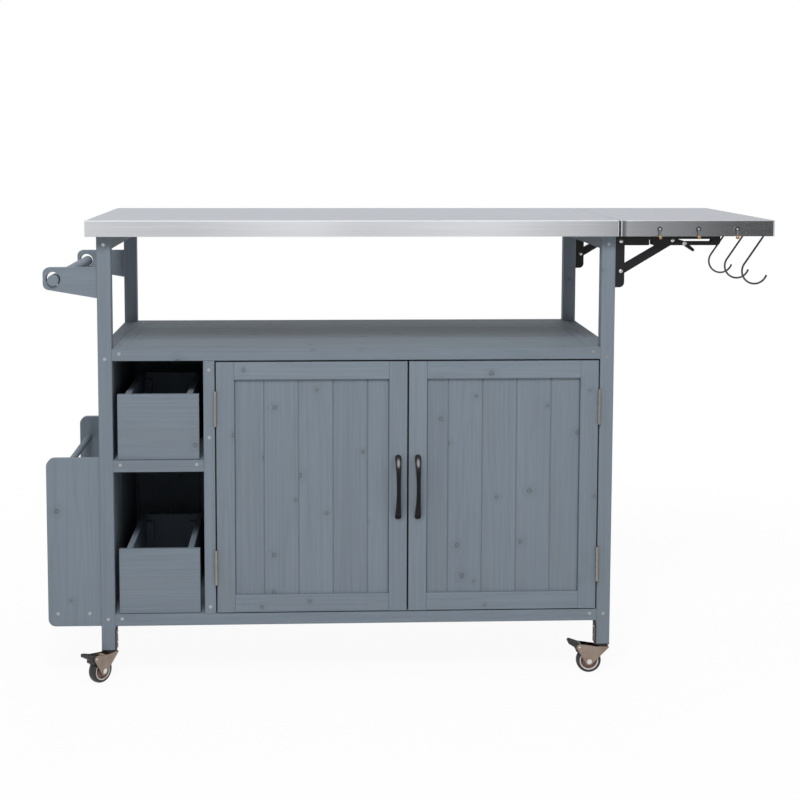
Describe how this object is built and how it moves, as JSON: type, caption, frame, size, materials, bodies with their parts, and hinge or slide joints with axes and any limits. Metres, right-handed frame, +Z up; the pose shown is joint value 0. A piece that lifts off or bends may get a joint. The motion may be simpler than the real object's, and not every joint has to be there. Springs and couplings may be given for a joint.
{
  "type": "outdoor kitchen cart",
  "caption": "Wheeled outdoor kitchen cart of stained wood with a steel worktop, folding side leaf, cupboard doors, pull-out bins, towel bar and side rack.",
  "frame": {"origin": "on the floor under the middle of the whole cart's bounding box", "axes": "+X along the cart to the folding leaf, +Y from the front to the back, +Z up"},
  "size_m": [1.4516, 0.5248, 0.914],
  "materials": {
    "stained_wood": "blue-grey stained fir",
    "core_board": "raw board",
    "stainless": "fine brushed",
    "black_steel": "satin powder coat",
    "nickel": "bright plated",
    "caster_rubber": "moulded",
    "black_plastic": "moulded"
  },
  "bodies": {
    "cart": {"front_legs": "stained_wood", "rear_legs": "stained_wood", "top_rails": "stained_wood", "shelf_rails": "stained_wood", "bottom_rails": "stained_wood", "shelf_boards": "stained_wood", "cabinet_floor": "stained_wood", "back_panel": "stained_wood", "side_panels": "stained_wood", "divider_post": "stained_wood", "divider_panel": "stained_wood", "cubby_shelf": "stained_wood", "worktop_pan": "stainless", "worktop_core": "core_board", "bracket_wall_plates": "black_steel", "bracket_rivets": "nickel", "frame_hinge_leaves": "nickel", "door_catches": "black_plastic", "towel_brackets": "stained_wood", "rack_panels": "stained_wood", "rack_rod": "stained_wood", "rack_floor": "stained_wood", "caster_mounts": "nickel", "frame_screws": "nickel", "caster_screws": "nickel"},
    "leaf": {"leaf_pan": "stainless", "leaf_eyelets": "nickel", "leaf_core": "core_board", "leaf_pegs": "nickel", "leaf_arms": "black_steel"},
    "front_strut": {"front_strut": "black_steel"},
    "rear_strut": {"rear_strut": "black_steel"},
    "front_lever": {"front_release_lever": "black_steel"},
    "rear_lever": {"rear_release_lever": "black_steel"},
    "front_hook": {"front_s_hook": "nickel"},
    "middle_hook": {"middle_s_hook": "nickel"},
    "rear_hook": {"rear_s_hook": "nickel"},
    "upper_bin": {"upper_bin": "stained_wood"},
    "lower_bin": {"lower_bin": "stained_wood"},
    "towel_bar": {"towel_bar": "stained_wood"},
    "left_door": {"left_door_frame": "stained_wood", "left_door_boards": "stained_wood", "left_door_handle": "black_steel", "left_door_hinges": "nickel"},
    "right_door": {"right_door_frame": "stained_wood", "right_door_boards": "stained_wood", "right_door_handle": "black_steel", "right_door_hinges": "nickel"},
    "front_left_fork": {"front_left_caster_fork": "nickel"},
    "front_left_wheel": {"front_left_caster_wheel": "caster_rubber"},
    "front_left_pedal": {"front_left_caster_pedal": "black_plastic"},
    "front_right_fork": {"front_right_caster_fork": "nickel"},
    "front_right_wheel": {"front_right_caster_wheel": "caster_rubber"},
    "front_right_pedal": {"front_right_caster_pedal": "black_plastic"},
    "rear_left_fork": {"rear_left_caster_fork": "nickel"},
    "rear_left_wheel": {"rear_left_caster_wheel": "caster_rubber"},
    "rear_left_pedal": {"rear_left_caster_pedal": "black_plastic"},
    "rear_right_fork": {"rear_right_caster_fork": "nickel"},
    "rear_right_wheel": {"rear_right_caster_wheel": "caster_rubber"},
    "rear_right_pedal": {"rear_right_caster_pedal": "black_plastic"}
  },
  "joints": [
    {"name": "leaf_fold", "type": "hinge", "parent": "cart", "child": "leaf", "pos_m": [0.40175, 0.01237, 0.872], "axis": [0, 1, 0], "range_deg": [0, 90]},
    {"name": "front_strut_turn", "type": "hinge", "parent": "cart", "child": "front_strut", "pos_m": [0.40175, -0.20213, 0.813], "axis": [0, 1, 0], "range_deg": [0, 120.5]},
    {"name": "rear_strut_turn", "type": "hinge", "parent": "cart", "child": "rear_strut", "pos_m": [0.40175, 0.22687, 0.813], "axis": [0, 1, 0], "range_deg": [0, 120.5]},
    {"name": "front_lever_turn", "type": "hinge", "parent": "leaf", "child": "front_lever", "pos_m": [0.52755, -0.20213, 0.8675], "axis": [0, 1, 0], "range_deg": [-30, 0]},
    {"name": "rear_lever_turn", "type": "hinge", "parent": "leaf", "child": "rear_lever", "pos_m": [0.52755, 0.22687, 0.8675], "axis": [0, 1, 0], "range_deg": [-30, 0]},
    {"name": "front_hook_swing", "type": "hinge", "parent": "leaf", "child": "front_hook", "pos_m": [0.699, -0.11263, 0.882], "axis": [0, 1, 0], "range_deg": [-90.5, 0]},
    {"name": "middle_hook_swing", "type": "hinge", "parent": "leaf", "child": "middle_hook", "pos_m": [0.699, 0.01237, 0.882], "axis": [0, 1, 0], "range_deg": [-90.5, 0]},
    {"name": "rear_hook_swing", "type": "hinge", "parent": "leaf", "child": "rear_hook", "pos_m": [0.699, 0.13737, 0.882], "axis": [0, 1, 0], "range_deg": [-90.5, 0]},
    {"name": "left_door_swing", "type": "hinge", "parent": "cart", "child": "left_door", "pos_m": [-0.3945, -0.21893, 0.3855], "axis": [0, 0, -1], "range_deg": [0, 95]},
    {"name": "right_door_swing", "type": "hinge", "parent": "cart", "child": "right_door", "pos_m": [0.3625, -0.21893, 0.3855], "axis": [0, 0, 1], "range_deg": [0, 95]},
    {"name": "upper_bin_slide", "type": "slide", "parent": "cart", "child": "upper_bin", "axis": [0, -1, 0], "range_m": [0, 0.22]},
    {"name": "lower_bin_slide", "type": "slide", "parent": "cart", "child": "lower_bin", "axis": [0, -1, 0], "range_m": [0, 0.22]},
    {"name": "towel_bar_spin", "type": "hinge", "parent": "cart", "child": "towel_bar", "pos_m": [-0.70576, 0.01237, 0.7968], "axis": [0, 1, 0], "continuous": true},
    {"name": "front_left_swivel", "type": "hinge", "parent": "cart", "child": "front_left_fork", "pos_m": [-0.60825, -0.20213, 0.025], "axis": [0, 0, 1], "continuous": true},
    {"name": "front_left_wheel_spin", "type": "hinge", "parent": "front_left_fork", "child": "front_left_wheel", "pos_m": [-0.62426, -0.22262, 0.025], "axis": [-0.788, 0.6157, 0], "continuous": true},
    {"name": "front_left_brake_press", "type": "hinge", "parent": "front_left_fork", "child": "front_left_pedal", "pos_m": [-0.63658, -0.23838, 0.054], "axis": [0.788, -0.6157, 0], "range_deg": [0, 15]},
    {"name": "front_right_swivel", "type": "hinge", "parent": "cart", "child": "front_right_fork", "pos_m": [0.37724, -0.20213, 0.025], "axis": [0, 0, 1], "continuous": true},
    {"name": "front_right_wheel_spin", "type": "hinge", "parent": "front_right_fork", "child": "front_right_wheel", "pos_m": [0.35124, -0.20213, 0.025], "axis": [0, 1, 0], "continuous": true},
    {"name": "front_right_brake_press", "type": "hinge", "parent": "front_right_fork", "child": "front_right_pedal", "pos_m": [0.33125, -0.20213, 0.054], "axis": [0, -1, 0], "range_deg": [0, 15]},
    {"name": "rear_left_swivel", "type": "hinge", "parent": "cart", "child": "rear_left_fork", "pos_m": [-0.60825, 0.22687, 0.025], "axis": [0, 0, 1], "continuous": true},
    {"name": "rear_left_wheel_spin", "type": "hinge", "parent": "rear_left_fork", "child": "rear_left_wheel", "pos_m": [-0.63298, 0.21884, 0.025], "axis": [-0.309, 0.9511, 0], "continuous": true},
    {"name": "rear_left_brake_press", "type": "hinge", "parent": "rear_left_fork", "child": "rear_left_pedal", "pos_m": [-0.652, 0.21266, 0.054], "axis": [0.309, -0.9511, 0], "range_deg": [0, 15]},
    {"name": "rear_right_swivel", "type": "hinge", "parent": "cart", "child": "rear_right_fork", "pos_m": [0.37724, 0.22687, 0.025], "axis": [0, 0, 1], "continuous": true},
    {"name": "rear_right_wheel_spin", "type": "hinge", "parent": "rear_right_fork", "child": "rear_right_wheel", "pos_m": [0.35349, 0.21629, 0.025], "axis": [-0.4067, 0.9135, 0], "continuous": true},
    {"name": "rear_right_brake_press", "type": "hinge", "parent": "rear_right_fork", "child": "rear_right_pedal", "pos_m": [0.33522, 0.20816, 0.054], "axis": [0.4067, -0.9135, 0], "range_deg": [0, 15]}
  ],
  "couplings": [
    {"joint": "front_strut_turn", "follows": "leaf_fold", "ratio": 1.3328},
    {"joint": "rear_strut_turn", "follows": "leaf_fold", "ratio": 1.3328},
    {"joint": "front_lever_turn", "follows": "leaf_fold", "ratio": -0.3278},
    {"joint": "rear_lever_turn", "follows": "leaf_fold", "ratio": -0.3278},
    {"joint": "front_hook_swing", "follows": "leaf_fold", "ratio": -1},
    {"joint": "middle_hook_swing", "follows": "leaf_fold", "ratio": -1},
    {"joint": "rear_hook_swing", "follows": "leaf_fold", "ratio": -1}
  ]
}
